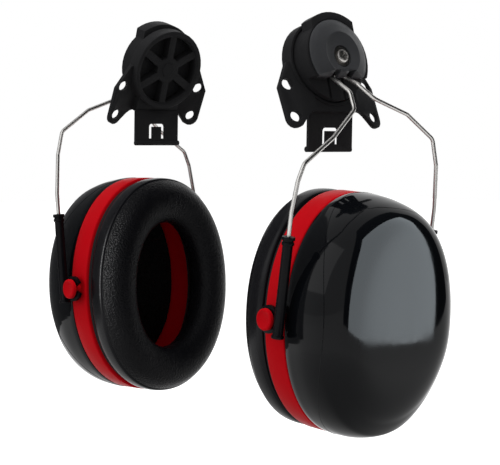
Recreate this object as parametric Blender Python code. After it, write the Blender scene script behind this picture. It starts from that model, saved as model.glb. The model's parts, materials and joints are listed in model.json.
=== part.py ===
"""Helmet-mounted earmuff pair: two identical units that face each other.

The row frame is +X to the right unit, +Z up, with its origin midway between the two bracket tongues.
A unit is drawn in its own millimetre frame, from the middle of the red band: n outward, v front to back
and w up. The hub has a frame of its own: t along its axis, v across and s up the drum.
"""

import math

import bmesh
import bpy
from mathutils import Matrix, Vector

# Driving dimensions, millimetres and degrees.
SPAN = 165.5             # between the middles of the two red bands
TONGUE_MID = 90.0        # height of the row origin above the band's middle
CUP_LEAN = 2.3           # top of the cup outward

BAND_HALF = 7.0          # half the width of the red band
CUP_A = 44.4             # half width of the band
CUP_TOP = 61.0           # half height above the pins
CUP_BOTTOM = 59.5        # half height below the pins
CUP_POWER = 2.1          # squareness of the outline
CUP_POINTS = 36          # points round an outline

HUB_N = -17.9            # centre of the drum's rim face
HUB_W = 122.9
HUB_LEAN = 16.4          # the hub axis points up by this
DRUM_R = 22.3
DRUM_IN = 19.2
DRUM_RIM = -4.8          # the rim's face, along the hub axis from the middle of the spokes
SPOKE_BACK = -3.6        # spokes are ribs as deep as the drum's floor
SPOKE_HALF = 2.1
NECK_BACK = -0.4
SPOKE_FRONT = 1.4
EAR_T = 0.6              # inner face of the ear plate level with the hub axis
EAR_THICK = 2.4
EAR_SLOPE = 0.115        # the ear plate stands more upright than the drum
EAR_SWEEP = 0.2          # the ears fall back towards the helmet
EAR_ROOT = 13.4
HOUSE_R = 20.4
HOUSE_LIP = 12.6         # front edge of the housing
CAP_R = 18.6
CAP_UP = 1.2             # the cap's middle above the screw
CAP_EDGE = 13.4
CAP_TOP = 16.8
CHORD = 9.8              # flat bottom edge of cap and housing, below the hub axis
HUB_SIDES = 40
SKIRT = 7.6              # face of the half-moon skirt below the chord
COLLAR_T = 5.3           # back of the raised collar, clear of the ears when the hub swings

EAR_EDGE = [(24.0, 0.8), (29.4, -8.6), (31.4, -12.0)]
EAR_FOOT = [(18.8, -27.2), (16.4, -25.6), (EAR_ROOT, -25.0)]
EAR_TIP = (26.6, -28.8, 4.6)     # middle of the rounded tip, and its radius
EAR_HOLES = [                    # middle of each hole, and its two half sizes
    (-26.4, -10.8, 3.3, 2.9), (-26.4, -27.6, 3.2, 2.8),
    (26.2, -10.8, 3.3, 2.9), (26.2, -27.6, 3.2, 2.8),
]
SPOKES = 6
SPOKE_ROOT = 7.2         # radius where the spokes meet

TONGUE_N = -12.0         # inner face of the tongue
TONGUE_T = 1.8
TONGUE_HALF = 14.75
TONGUE_TOP = 99.4
TONGUE_END = 80.0
LIP_R = 1.45             # bead along the tongue's end
SLOT_OUT = 5.6           # U-shaped slot round the catch
SLOT_IN = 2.9
SLOT_FOOT = 83.6
SLOT_BEND = 90.2

BORE_R = 2.3             # clearance round the hub screw
SEAT_R = 5.6             # washer seat in the cap
SEAT_DEEP = 2.6
RAIL_V = 4.8             # the two grooves under the cap that the fork swings in
BAY_HALF = 7.3
BAY_TOP = -6.4
PAST = 30.0              # cutters reach past the body by about this

WIRE_R = 1.1
WIRE_SIDES = 8
PIVOT_N = -6.82          # cross bar of the fork, the tilt axis
PIVOT_W = 117.82
REAR_BENDS = [
    (8.6, -5.2, 109.4), (12.4, -5.6, 101.0), (18.6, -25.2, 87.4), (19.2, -44.0, 75.2), (18.0, -46.8, 67.0),
]
FRONT_BENDS = [
    (3.2, 5.2, 113.4), (12.0, 8.4, 106.4), (15.0, 28.2, 99.0), (17.4, 44.4, 86.8), (18.0, 46.7, 73.6),
]
BEND_R = 4.5
LEG_TOP = 52.0           # where a leg turns straight, above the pin
LEG_END = 8.0            # wire end inside its sleeve, clear of the bottom at full slide

STUD_R = 2.6
BUTTON_R = 5.4
BUTTON_V = 51.6          # outer face of the pivot button
SLEEVE_V = 48.6          # sleeve axis, from the cup's middle
SLEEVE_N = 8.4
SLEEVE_LEAN = 8.0        # top outward
SLEEVE_R = 2.6
SLEEVE_UP = 41.0         # sleeve top above the pin
SLEEVE_DOWN = 8.5
SLEEVE_SIDES = 16
CLIP_R = 7.0             # outside of the C-shaped clip
CLIP_OPEN = 24.0         # half the clip's mouth, degrees
CLIP_IN = -1.9           # the clip's two faces, from the sleeve axis
CLIP_OUT = 0.1
FIT = 0.3                # clearance of a moving fit

# Rings of the cup: depth n, then the inset from the band's outline.
BAND_STEPS = [
    (-BAND_HALF, -5.2), (-BAND_HALF, -0.5), (-BAND_HALF + 0.5, 0.0), (BAND_HALF - 0.5, 0.0),
    (BAND_HALF, -0.5), (BAND_HALF, -4.6), (16.0, -6.4), (23.0, -10.0), (28.0, -15.5), (30.0, -22.0),
]
LINING_STEPS = [(28.2, -22.6), (26.4, -16.8), (21.8, -11.8), (15.4, -8.4), (6.0, -6.4)]
FOAM_STEPS = [(14.4, -12.4), (16.0, -10.4), (21.0, -13.2), (25.4, -18.6), (26.8, -24.0)]
PLATE_STEPS = [(-7.3, -0.6), (-9.6, -0.6), (-9.6, -17.6), (-7.3, -17.6)]
CUSHION_STEPS = [
    (-9.9, -1.0), (-12.5, 0.2), (-20.6, -0.4), (-22.8, -1.3), (-25.6, -2.9), (-28.4, -5.6), (-30.5, -9.2),
    (-31.2, -12.8), (-30.5, -16.4), (-28.0, -20.0), (-23.0, -22.2), (-15.6, -21.4), (-9.9, -18.6),
]
DOME_FROM = 8.0          # past this depth the bottom of the cup draws in faster
DOME_DRAW = 1.25
EYE_FROM = -12.0         # past this inset the cushion's opening is shortened
EYE_DRAW = 1.35

# Rings of the outer shell: depth n, half width, height above and below the pins.
SHELL_OUT = [
    (7.3, 44.3, 61.0, 59.6), (11.0, 44.7, 61.0, 59.6), (20.0, 45.4, 59.8, 58.6), (28.0, 45.2, 57.4, 55.4),
    (33.0, 43.8, 54.8, 51.6), (37.5, 40.8, 51.2, 46.6), (41.0, 36.4, 46.8, 40.6), (43.2, 31.0, 41.8, 34.4),
    (44.2, 24.6, 35.4, 27.6), (44.5, 14.0, 22.0, 16.0),
]
SHELL_IN = [
    (42.2, 13.0, 21.0, 15.0), (41.6, 24.5, 35.0, 27.4), (38.6, 34.0, 44.6, 38.6), (33.6, 39.8, 51.0, 47.2),
    (27.0, 42.6, 55.0, 52.8), (18.0, 42.9, 57.4, 56.2), (7.3, 41.8, 58.5, 56.9),
]

SHARP = 32.0             # edges that turn more than this stay sharp
MM = 0.001


def clear_scene():
    for obj in list(bpy.data.objects):
        bpy.data.objects.remove(obj, do_unlink=True)


def material(name, colour, rough, metal=0.0):
    mat = bpy.data.materials.new(name)
    mat.use_nodes = True
    shader = mat.node_tree.nodes["Principled BSDF"]
    shader.inputs["Base Color"].default_value = (*colour, 1.0)
    shader.inputs["Roughness"].default_value = rough
    shader.inputs["Metallic"].default_value = metal
    return mat


LOOKS = {
    "bracket": ((0.018, 0.018, 0.020), 0.55, 0.0),
    "swivel_housing": ((0.018, 0.018, 0.020), 0.55, 0.0),
    "hub_cap": ((0.020, 0.020, 0.022), 0.55, 0.0),
    "hub_washer": ((0.40, 0.39, 0.37), 0.35, 1.0),
    "hub_screw": ((0.48, 0.47, 0.44), 0.30, 1.0),
    "wire_fork": ((0.62, 0.60, 0.57), 0.22, 1.0),
    "sleeve_rear": ((0.012, 0.012, 0.013), 0.40, 0.0),
    "sleeve_front": ((0.012, 0.012, 0.013), 0.40, 0.0),
    "inner_cup": ((0.58, 0.010, 0.014), 0.35, 0.0),
    "outer_cup": ((0.010, 0.010, 0.012), 0.12, 0.0),
    "cushion_plate": ((0.010, 0.010, 0.011), 0.25, 0.0),
    "cushion": ((0.012, 0.012, 0.013), 0.50, 0.0),
    "foam_liner": ((0.008, 0.008, 0.008), 0.95, 0.0),
}


def rings_mesh(rings, loop=False):
    """Walls between rings of equal length, with flat ends unless the last ring meets the first."""
    gap = None if loop else len(rings) - 1
    return walls_mesh(rings, gap)


def walls_mesh(rings, gap):
    """A bmesh of walls round the loop of rings, closed flat on both sides of the ring pair named by gap."""
    bm = bmesh.new()
    rows = [[bm.verts.new(p) for p in ring] for ring in rings]
    count = len(rows[0])
    for k, low in enumerate(rows):
        high = rows[(k + 1) % len(rows)]
        if k == gap:
            bm.faces.new(low)
            bm.faces.new(list(reversed(high)))
            continue
        for i in range(count):
            j = (i + 1) % count
            bm.faces.new((low[i], low[j], high[j], high[i]))
    bmesh.ops.recalc_face_normals(bm, faces=bm.faces[:])
    return bm


def circle(radius, sides):
    turns = [2.0 * math.pi * i / sides for i in range(sides)]
    return [(radius * math.cos(a), radius * math.sin(a)) for a in turns]


def outline(a, top, bottom, n, power=CUP_POWER, count=CUP_POINTS):
    """Points of the egg outline at depth n, starting on the +v side."""
    points = []
    for i in range(count):
        t = 2.0 * math.pi * i / count
        c = math.cos(t)
        s = math.sin(t)
        v = a * math.copysign(abs(c) ** (2.0 / power), c)
        w = (top if s > 0 else bottom) * math.copysign(abs(s) ** (2.0 / power), s)
        points.append((n, v, w))
    return points


def lathe(profile, sides=HUB_SIDES, loop=False):
    """Rings round the local hub axis from (t, radius) pairs."""
    return rings_mesh([[(t, v, s) for v, s in circle(r, sides)] for t, r in profile], loop)


def slab(points, t0, t1):
    """A plate with the outline (v, s) between t0 and t1 along the hub axis."""
    return rings_mesh([[(t0, v, s) for v, s in points], [(t1, v, s) for v, s in points]])


def box(t0, t1, v0, v1, s0, s1):
    return slab([(v0, s0), (v1, s0), (v1, s1), (v0, s1)], t0, t1)


def arc(cv, cs, r, start, stop, steps):
    found = []
    for i in range(steps + 1):
        a = math.radians(start + (stop - start) * i / steps)
        found.append((cv + r * math.cos(a), cs + r * math.sin(a)))
    return found


def sweep(path, radius, sides):
    """A round bar along the path, with flat ends."""
    points = [Vector(p) for p in path]
    ways = [(b - a).normalized() for a, b in zip(points, points[1:])]
    side = ways[0].orthogonal().normalized()
    rings = []
    for i, point in enumerate(points):
        before = ways[max(i - 1, 0)]
        after = ways[min(i, len(ways) - 1)]
        way = (before + after).normalized()
        side = (side - way * side.dot(way)).normalized()
        up = way.cross(side)
        stretch = 1.0 / max(way.dot(after), 0.5)
        bend = (after - before)
        out = bend.normalized() if bend.length > 1e-6 else None
        ring = []
        for k in range(sides):
            a = 2.0 * math.pi * k / sides
            spoke = side * math.cos(a) + up * math.sin(a)
            if out is not None:
                spoke = spoke + out * spoke.dot(out) * (stretch - 1.0)
            ring.append(tuple(point + spoke * radius))
        rings.append(ring)
    return rings_mesh(rings)


def rounded(path, radius, steps):
    """The path with each inner corner replaced by an arc of about this radius."""
    points = [Vector(p) for p in path]
    made = [points[0]]
    for a, b, c in zip(points, points[1:], points[2:]):
        into = (b - a).normalized()
        outof = (c - b).normalized()
        half = into.angle(outof) / 2.0
        reach = min(radius * math.tan(half), 0.42 * (b - a).length, 0.42 * (c - b).length)
        if reach < 0.05:
            made.append(b)
            continue
        start = b - into * reach
        stop = b + outof * reach
        for i in range(steps + 1):
            f = i / steps
            made.append(start * (1 - f) ** 2 + b * (2 * f * (1 - f)) + stop * f ** 2)
    made.append(points[-1])
    return [tuple(p) for p in made]


def hub_matrix():
    """Hub frame (t along the axis, v, s up the drum) to the unit frame."""
    lean = math.radians(HUB_LEAN)
    turn = Matrix.Rotation(-lean, 4, "Y")
    return Matrix.Translation((HUB_N, 0.0, HUB_W)) @ turn


def cup_matrix():
    return Matrix.Rotation(math.radians(CUP_LEAN), 4, "Y")


def unit_matrix(side):
    place = Matrix.Translation((SPAN / 2.0, 0.0, -TONGUE_MID))
    turn = Matrix.Rotation(0.0 if side == "right" else math.pi, 4, "Z")
    return Matrix.Scale(MM, 4) @ turn @ place


def store(name, bm, frame, origin):
    """Writes the bmesh to an object whose origin is the given row-frame point."""
    bmesh.ops.transform(bm, matrix=Matrix.Translation(-origin) @ frame, verts=bm.verts[:])
    mesh = bpy.data.meshes.new(name)
    bm.to_mesh(mesh)
    bm.free()
    mesh.shade_smooth()
    mesh.set_sharp_from_angle(angle=math.radians(SHARP))
    obj = bpy.data.objects.new(name, mesh)
    obj.location = origin
    bpy.context.scene.collection.objects.link(obj)
    return obj


def operate(obj, bm, frame, origin, operation, label):
    """Joins or cuts with a hidden helper."""
    helper = store(obj.name + "_" + label, bm, frame, origin)
    helper.hide_render = True
    helper.display_type = "WIRE"
    mod = obj.modifiers.new(label, "BOOLEAN")
    mod.object = helper
    mod.operation = operation
    mod.solver = "EXACT"


def finish(obj, piece):
    colour, rough, metal = LOOKS[piece]
    obj.data.materials.append(material(obj.name, colour, rough, metal))


def make_bracket(side, frame, origin):
    """The spoked drum, its two ears and the slotted tongue, moulded in one."""
    hub = frame @ hub_matrix()
    wall = HOUSE_R + 0.5
    lip = EAR_T + 2.0
    profile = [(SPOKE_BACK, DRUM_IN), (DRUM_RIM, DRUM_IN + 0.6), (DRUM_RIM, DRUM_R - 0.4)]
    profile += [(DRUM_RIM + 0.4, DRUM_R), (lip, DRUM_R), (lip, wall), (SPOKE_FRONT, wall)]
    bm = lathe(profile)
    for vert in bm.verts:
        if vert.co.x > SPOKE_FRONT + 0.1 and vert.co.z < 0.0:
            vert.co.x -= EAR_SLOPE * vert.co.z
    obj = store(side + "_bracket", bm, hub, origin)
    bow = HOUSE_R + 0.9
    root = -math.degrees(math.acos(EAR_ROOT / bow))
    ear = EAR_EDGE + arc(*EAR_TIP, -5, -150, 6) + EAR_FOOT + arc(0.0, 0.0, bow, root, 3.0, 8)
    back = [(EAR_T - EAR_SLOPE * s - EAR_SWEEP * (v - EAR_ROOT), v, s) for v, s in ear]
    for sign in (-1.0, 1.0):
        low = [(t, sign * v, s) for t, v, s in back]
        high = [(t + EAR_THICK, v, s) for t, v, s in low]
        operate(obj, rings_mesh([low, high]), hub, origin, "UNION", "ear%d" % (sign > 0))
    half = TONGUE_HALF - 0.35
    start = math.degrees(math.asin(half / bow)) - 90.0
    neck = [(-half, -25.2), (half, -25.2)] + arc(0.0, 0.0, bow + 0.1, start, -180.0 - start, 8)
    operate(obj, slab(neck, NECK_BACK, 4.3), hub, origin, "UNION", "neck")
    cut_spokes(obj, hub, origin)
    for k, (v, s, across, up) in enumerate(EAR_HOLES):
        hole = [(v + across * x, s + up * y) for x, y in circle(1.0, 16)]
        operate(obj, slab(hole, -8.0, 14.0), hub, origin, "DIFFERENCE", "hole%d" % k)
    add_tongue(obj, frame, origin)
    boss = [(-4.1, 3.9), (-3.8, 4.3), (1.0, 4.3)]
    operate(obj, lathe(boss, SPOKES), hub, origin, "UNION", "boss")
    operate(obj, lathe([(0.2, 2.1), (8.0, 2.1)], 16), hub, origin, "DIFFERENCE", "bore")
    finish(obj, "bracket")


def cut_spokes(obj, hub, origin):
    """Pockets between the spokes of the drum."""
    pitch = 2.0 * math.pi / SPOKES
    for k in range(SPOKES):
        middle = pitch * (k + 0.5)
        pocket = []
        for r, way, steps in ((DRUM_IN - 0.3, 1.0, 6), (SPOKE_ROOT, -1.0, 2)):
            reach = pitch / 2.0 - math.asin(SPOKE_HALF / r)
            for i in range(steps + 1):
                a = middle + way * reach * (1.0 - 2.0 * i / steps)
                pocket.append((r * math.sin(a), r * math.cos(a)))
        cut = slab(pocket, SPOKE_BACK - 2.0, SPOKE_FRONT + 2.0)
        operate(obj, cut, hub, origin, "DIFFERENCE", "pocket%d" % k)


def add_tongue(obj, frame, origin):
    """The tongue that clips into the helmet's side slot, with its bead and its sprung catch."""
    low = TONGUE_N
    high = TONGUE_N + TONGUE_T
    tongue = box(low, high, -TONGUE_HALF, TONGUE_HALF, TONGUE_END, TONGUE_TOP)
    operate(obj, tongue, frame, origin, "UNION", "tongue")
    reach = TONGUE_HALF + 0.3
    height = TONGUE_END + 1.1
    bead = sweep([(low + 0.25, -reach, height), (low + 0.25, reach, height)], LIP_R, 10)
    operate(obj, bead, frame, origin, "UNION", "lip")
    slot = [(-SLOT_OUT, SLOT_FOOT), (-SLOT_IN, SLOT_FOOT), (-SLOT_IN, SLOT_BEND)]
    slot += [(SLOT_IN, SLOT_BEND), (SLOT_IN, SLOT_FOOT), (SLOT_OUT, SLOT_FOOT)]
    corner = 1.6
    slot += arc(SLOT_OUT - corner, SLOT_BEND, corner, 0, 90, 3)
    slot += arc(corner - SLOT_OUT, SLOT_BEND, corner, 90, 180, 3)
    operate(obj, slab(slot, low - 3.0, high + 3.0), frame, origin, "DIFFERENCE", "slot")
    root = [(-2.2, 87.0), (2.2, 87.0), (2.2, SLOT_BEND), (-2.2, SLOT_BEND)]
    edge = [(-2.0, 89.3), (2.0, 89.3), (2.0, 90.0), (-2.0, 90.0)]
    catch = rings_mesh([[(high - 0.3, v, w) for v, w in root], [(high + 1.0, v, w) for v, w in edge]])
    operate(obj, catch, frame, origin, "UNION", "catch")


def make_housing(side, frame, origin):
    """The round housing that swings on the drum, open below the cap where the fork comes out."""
    hub = frame @ hub_matrix()
    start = SPOKE_FRONT + FIT
    bm = lathe([(start, HOUSE_R), (HOUSE_LIP - 0.5, HOUSE_R), (HOUSE_LIP, HOUSE_R - 0.5)])
    obj = store(side + "_swivel_housing", bm, hub, origin)
    collar = arc(0.0, 0.0, HOUSE_R + 3.4, 54, 126, 10) + arc(0.0, 0.0, HOUSE_R - 1.6, 138, 42, 10)
    operate(obj, slab(collar, COLLAR_T, HOUSE_LIP + 0.3), hub, origin, "UNION", "collar")
    skirt = box(SKIRT, PAST, -PAST, PAST, -PAST, -CHORD)
    operate(obj, skirt, hub, origin, "DIFFERENCE", "skirt")
    well = lathe([(HOUSE_LIP - 2.2, CAP_R + FIT), (PAST, CAP_R + FIT)])
    operate(obj, well, hub @ Matrix.Translation((0.0, 0.0, CAP_UP)), origin, "DIFFERENCE", "well")
    bay = box(SKIRT + 0.2, PAST, -BAY_HALF, BAY_HALF, -CHORD - 2.2, BAY_TOP)
    operate(obj, bay, hub, origin, "DIFFERENCE", "bay")
    for v in (-RAIL_V, RAIL_V):
        groove = box(SKIRT - 1.0, PAST + 1.0, v - 0.8, v + 0.8, -25.0, -8.0)
        operate(obj, groove, hub, origin, "DIFFERENCE", "groove%d" % (v > 0))
    bore = lathe([(0.0, BORE_R), (PAST + 2.0, BORE_R)], 16)
    operate(obj, bore, hub, origin, "DIFFERENCE", "bore")
    finish(obj, "swivel_housing")


def make_cap(side, frame, origin):
    """The domed cap in the housing's well, cut flat below, with two slots for the fork's legs."""
    hub = frame @ hub_matrix()
    back = HOUSE_LIP - 1.9
    dish = CAP_TOP - 0.9
    profile = [(back, CAP_R), (CAP_EDGE - 0.5, CAP_R), (CAP_EDGE, CAP_R - 0.4), (CAP_EDGE + 1.5, CAP_R - 3.4)]
    profile += [(CAP_EDGE + 2.6, CAP_R - 6.2), (CAP_TOP - 0.2, 11.2), (dish, 9.8), (dish, 7.0)]
    obj = store(side + "_hub_cap", lathe(profile), hub @ Matrix.Translation((0.0, 0.0, CAP_UP)), origin)
    far = CAP_TOP + 3.0
    below = [(back - 5.0, -CHORD), (CAP_EDGE - 1.2, -CHORD), (far, -CHORD + 4.2)]
    below += [(far, -PAST), (back - 5.0, -PAST)]
    flat = rings_mesh([[(t, v, s) for t, s in below] for v in (-PAST, PAST)])
    operate(obj, flat, hub, origin, "DIFFERENCE", "flat")
    seat = lathe([(CAP_TOP - SEAT_DEEP, SEAT_R), (PAST, SEAT_R)], 32)
    operate(obj, seat, hub, origin, "DIFFERENCE", "seat")
    bore = lathe([(0.0, BORE_R), (PAST + 2.0, BORE_R)], 20)
    operate(obj, bore, hub, origin, "DIFFERENCE", "bore")
    for v in (-RAIL_V, RAIL_V):
        slot = box(5.0, PAST + 1.0, v - 2.1, v + 2.1, -20.0, -7.0)
        operate(obj, slot, hub, origin, "DIFFERENCE", "slot%d" % (v > 0))
    finish(obj, "hub_cap")


def make_fixings(side, frame, origin):
    """The washer in the cap's seat and the cross-head screw through the hub."""
    hub = frame @ hub_matrix()
    low = CAP_TOP - SEAT_DEEP + 0.2
    high = low + 0.8
    rim = SEAT_R - 0.4
    washer = lathe([(low, BORE_R), (low, rim), (high, rim), (high, BORE_R)], 24, True)
    finish(store(side + "_hub_washer", washer, hub, origin), "hub_washer")
    seat = high + 0.2
    shank = BORE_R - 0.4
    head = [(1.0, shank), (seat, shank), (seat, 3.6), (seat + 0.9, 3.4), (seat + 1.6, 2.6), (seat + 1.9, 1.4)]
    screw = store(side + "_hub_screw", lathe(head, 24), hub, origin)
    for k, (v, s) in enumerate(((2.1, 0.42), (0.42, 2.1))):
        operate(screw, box(seat + 0.5, seat + 4.0, -v, v, -s, s), hub, origin, "DIFFERENCE", "cross%d" % k)
    finish(screw, "hub_screw")


def leg_points(v_sign):
    """Bend points of one leg of the fork from the cross bar down, in the unit frame."""
    lean = math.tan(math.radians(SLEEVE_LEAN))

    def on_leg(w):
        return (SLEEVE_N + lean * w, v_sign * SLEEVE_V, w)

    bends = REAR_BENDS if v_sign < 0 else FRONT_BENDS
    return bends + [on_leg(LEG_TOP), on_leg(LEG_END)]


def make_fork(side, frame, origin):
    far = leg_points(-1.0)
    near = leg_points(1.0)
    path = list(reversed(far))
    path += [(PIVOT_N, -RAIL_V, PIVOT_W), (PIVOT_N, RAIL_V, PIVOT_W)]
    path += near
    bm = sweep(rounded(path, BEND_R, 3), WIRE_R, WIRE_SIDES)
    finish(store(side + "_wire_fork", bm, frame, origin), "wire_fork")


def sleeve_matrix(v_sign):
    lean = math.radians(SLEEVE_LEAN)
    return Matrix.Translation((SLEEVE_N, v_sign * SLEEVE_V, 0.0)) @ Matrix.Rotation(lean, 4, "Y")


def make_sleeve(side, piece, v_sign, frame, origin):
    """A tube round the leg, with a collar on top and a clip that opens round the pivot stud."""
    local = frame @ sleeve_matrix(v_sign)
    foot = -SLEEVE_DOWN
    top = SLEEVE_UP
    rim = SLEEVE_R + 0.65
    bead = SLEEVE_R + 0.45
    profile = [(foot, SLEEVE_R + 0.5), (foot + 1.2, SLEEVE_R + 0.5), (foot + 1.5, SLEEVE_R)]
    profile += [(top - 4.2, SLEEVE_R - 0.1), (top - 4.0, bead), (top - 2.6, bead), (top - 2.4, SLEEVE_R)]
    profile += [(top - 1.8, SLEEVE_R), (top - 1.6, rim), (top, rim)]
    tube = rings_mesh([[(x, y, h) for x, y in circle(r, SLEEVE_SIDES)] for h, r in profile])
    obj = store(side + "_" + piece, tube, local, origin)
    lean = math.radians(SLEEVE_LEAN)
    middle = -SLEEVE_N * math.cos(lean)
    level = -SLEEVE_N * math.sin(lean)
    turn = 180.0 - CLIP_OPEN
    jaw = arc(middle, level, CLIP_R, -turn, turn, 16) + arc(middle, level, STUD_R + FIT, turn, -turn, 12)
    clip = rings_mesh([[(n, v_sign * v, w) for n, w in jaw] for v in (CLIP_IN, CLIP_OUT)])
    operate(obj, clip, local, origin, "UNION", "clip")
    web = [(middle + 3.6, level - 2.4), (0.4, -6.6), (0.4, 8.6), (middle + 3.6, level + 2.6)]
    rib = rings_mesh([[(n, v_sign * v, w) for n, w in web] for v in (CLIP_IN + 0.25, CLIP_OUT - 0.25)])
    operate(obj, rib, local, origin, "UNION", "rib")
    hole = circle(WIRE_R + FIT, 12)
    bore = rings_mesh([[(x, y, h) for x, y in hole] for h in (foot + 1.6, top + 2.0)])
    operate(obj, bore, local, origin, "DIFFERENCE", "bore")
    finish(obj, piece)


def cup_ring(n, d):
    """The band's outline inset by d, with the bottom drawn in faster on the dome."""
    draw = DOME_DRAW if n > DOME_FROM else 1.0
    return outline(CUP_A + d, CUP_TOP + d, CUP_BOTTOM + d * draw, n)


def seal_ring(n, d):
    """The band's outline inset by d, with a shortened opening."""
    up = d
    if d < EYE_FROM:
        up = EYE_FROM + (d - EYE_FROM) * EYE_DRAW
    return outline(CUP_A + d, CUP_TOP + up, CUP_BOTTOM + up, n)


def make_inner_cup(side, frame, origin):
    """The red cup: a band that shows outside, a dome behind it and the two pivot buttons."""
    local = frame @ cup_matrix()
    rings = [cup_ring(n, d) for n, d in BAND_STEPS + LINING_STEPS]
    obj = store(side + "_inner_cup", walls_mesh(rings, len(BAND_STEPS) - 1), local, origin)
    back = BUTTON_V - 2.4
    profile = [(CUP_A - 2.0, STUD_R), (back, STUD_R), (back, BUTTON_R - 0.3), (back + 0.4, BUTTON_R)]
    profile += [(BUTTON_V - 0.6, BUTTON_R), (BUTTON_V, BUTTON_R - 0.6)]
    for sign, label in ((-1.0, "rear"), (1.0, "front")):
        stud = rings_mesh([[(x, sign * v, y) for x, y in circle(r, 20)] for v, r in profile])
        operate(obj, stud, local, origin, "UNION", "stud_" + label)
    finish(obj, "inner_cup")


def make_outer_cup(side, frame, origin):
    """The black shell behind the red band, hollow and open towards the red cup."""
    local = frame @ cup_matrix()
    rings = [outline(a, top, bottom, n) for n, a, top, bottom in SHELL_OUT + SHELL_IN]
    bm = walls_mesh(rings, len(SHELL_OUT) - 1)
    finish(store(side + "_outer_cup", bm, local, origin), "outer_cup")


def make_seal(side, frame, origin):
    """The plate that snaps into the cup, the cushion on it and the foam liner in the cup."""
    local = frame @ cup_matrix()
    plate = rings_mesh([cup_ring(n, d) for n, d in PLATE_STEPS], True)
    finish(store(side + "_cushion_plate", plate, local, origin), "cushion_plate")
    cushion = rings_mesh([seal_ring(n, d) for n, d in CUSHION_STEPS], True)
    finish(store(side + "_cushion", cushion, local, origin), "cushion")
    foam = rings_mesh([cup_ring(n, d) for n, d in FOAM_STEPS])
    finish(store(side + "_foam_liner", foam, local, origin), "foam_liner")


def main():
    clear_scene()
    for side in ("right", "left"):
        frame = unit_matrix(side)
        hub = frame @ hub_matrix()
        hub_at = hub @ Vector((0.0, 0.0, 0.0))
        tilt_at = frame @ Vector((PIVOT_N, 0.0, PIVOT_W))
        pin_at = frame @ Vector((0.0, 0.0, 0.0))
        make_bracket(side, frame, hub_at)
        make_housing(side, frame, hub_at)
        make_cap(side, frame, hub_at)
        make_fixings(side, frame, hub_at)
        make_fork(side, frame, tilt_at)
        make_sleeve(side, "sleeve_rear", -1.0, frame, pin_at)
        make_sleeve(side, "sleeve_front", 1.0, frame, pin_at)
        make_inner_cup(side, frame, pin_at)
        make_outer_cup(side, frame, pin_at)
        make_seal(side, frame, pin_at)


main()
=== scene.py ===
# %% [markdown]
# # A pair of earmuffs for a safety helmet
# Two cups hang on spring wire from swivel hubs, and each hub's bracket clips into a side slot of the helmet.
# This lesson dresses the engineering model: it keeps every joint and size, and gives each piece its surface.

# %% Load the frame
import json
import math

import bmesh
import bpy
from mathutils import Matrix, Vector
from mathutils.bvhtree import BVHTree


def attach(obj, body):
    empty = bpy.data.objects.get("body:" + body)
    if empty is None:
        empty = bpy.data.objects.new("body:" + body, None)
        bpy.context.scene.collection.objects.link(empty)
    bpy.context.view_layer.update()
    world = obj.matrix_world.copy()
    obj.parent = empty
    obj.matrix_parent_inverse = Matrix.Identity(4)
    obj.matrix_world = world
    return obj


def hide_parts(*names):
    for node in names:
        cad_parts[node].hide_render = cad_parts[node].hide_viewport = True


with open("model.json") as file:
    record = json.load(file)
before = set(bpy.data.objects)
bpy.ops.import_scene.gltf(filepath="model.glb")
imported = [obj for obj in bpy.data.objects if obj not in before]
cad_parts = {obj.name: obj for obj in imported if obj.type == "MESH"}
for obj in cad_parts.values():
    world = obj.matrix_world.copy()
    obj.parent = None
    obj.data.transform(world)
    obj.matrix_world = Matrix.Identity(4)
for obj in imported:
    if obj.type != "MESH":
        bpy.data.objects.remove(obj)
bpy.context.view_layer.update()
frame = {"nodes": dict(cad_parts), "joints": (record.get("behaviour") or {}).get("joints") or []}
SIDES = ("right", "left")
print("nodes:", len(frame["nodes"]))

# %% [markdown]
# ## The camera
# A product photographer stands well back with a long lens, so that the near cup isn't swollen.
# The place, turn and focal length come from fitting the cup rims and the tongues to the picture.

# %% Camera
CAMERA_AT = (0.68705, -0.5741, 0.0072)
CAMERA_TURN = (1.5014, -0.0153, 0.8675)
CAMERA_LENS = 120.96
SENSOR_WIDTH = 36.0
CLIP_START = 0.01

lens = bpy.data.cameras.new("camera")
lens.sensor_width = SENSOR_WIDTH
lens.lens = CAMERA_LENS
lens.clip_start = CLIP_START
camera = bpy.data.objects.new("camera", lens)
camera.location = CAMERA_AT
camera.rotation_euler = CAMERA_TURN
bpy.context.scene.collection.objects.link(camera)
bpy.context.scene.camera = camera
bpy.context.scene.view_settings.view_transform = "Standard"
print("camera at", CAMERA_AT, "lens", CAMERA_LENS)

# %% [markdown]
# ## Floor and room
# The pair hangs in white space. A pale floor lies well below it, so its shadow falls under the frame.
# Rays from the camera, mirrored rays and rays through glass see the floor glow and the room white.
# All other rays see the room dimmer, which keeps the light on the object at a plain level.

# %% Node helpers


def node(tree, kind, **values):
    """A new node with its named sockets set and its settings given in lower case."""
    made = tree.nodes.new(kind)
    for key, value in values.items():
        if key in made.inputs:
            made.inputs[key].default_value = value
        else:
            setattr(made, key, value)
    return made


def backdrop_rays(tree):
    """One for the rays that should see the backdrop: from the camera, mirrored, or through glass."""
    path = node(tree, "ShaderNodeLightPath")
    mirrored = node(tree, "ShaderNodeMath", operation="MAXIMUM")
    either = node(tree, "ShaderNodeMath", operation="MAXIMUM")
    tree.links.new(path.outputs["Is Glossy Ray"], mirrored.inputs[0])
    tree.links.new(path.outputs["Is Transmission Ray"], mirrored.inputs[1])
    tree.links.new(path.outputs["Is Camera Ray"], either.inputs[0])
    tree.links.new(mirrored.outputs["Value"], either.inputs[1])
    return either.outputs["Value"]


print("node helpers ready")

# %% Floor
FLOOR_Z = -0.29
FLOOR_HALF = 4.0
FLOOR_COLOUR = (0.50, 0.50, 0.50, 1.0)
FLOOR_ROUGH = 0.9
GLOW_REACH = (0.30, 0.62)
GLOW_LEVEL = (0.25, 1.0)

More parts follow.
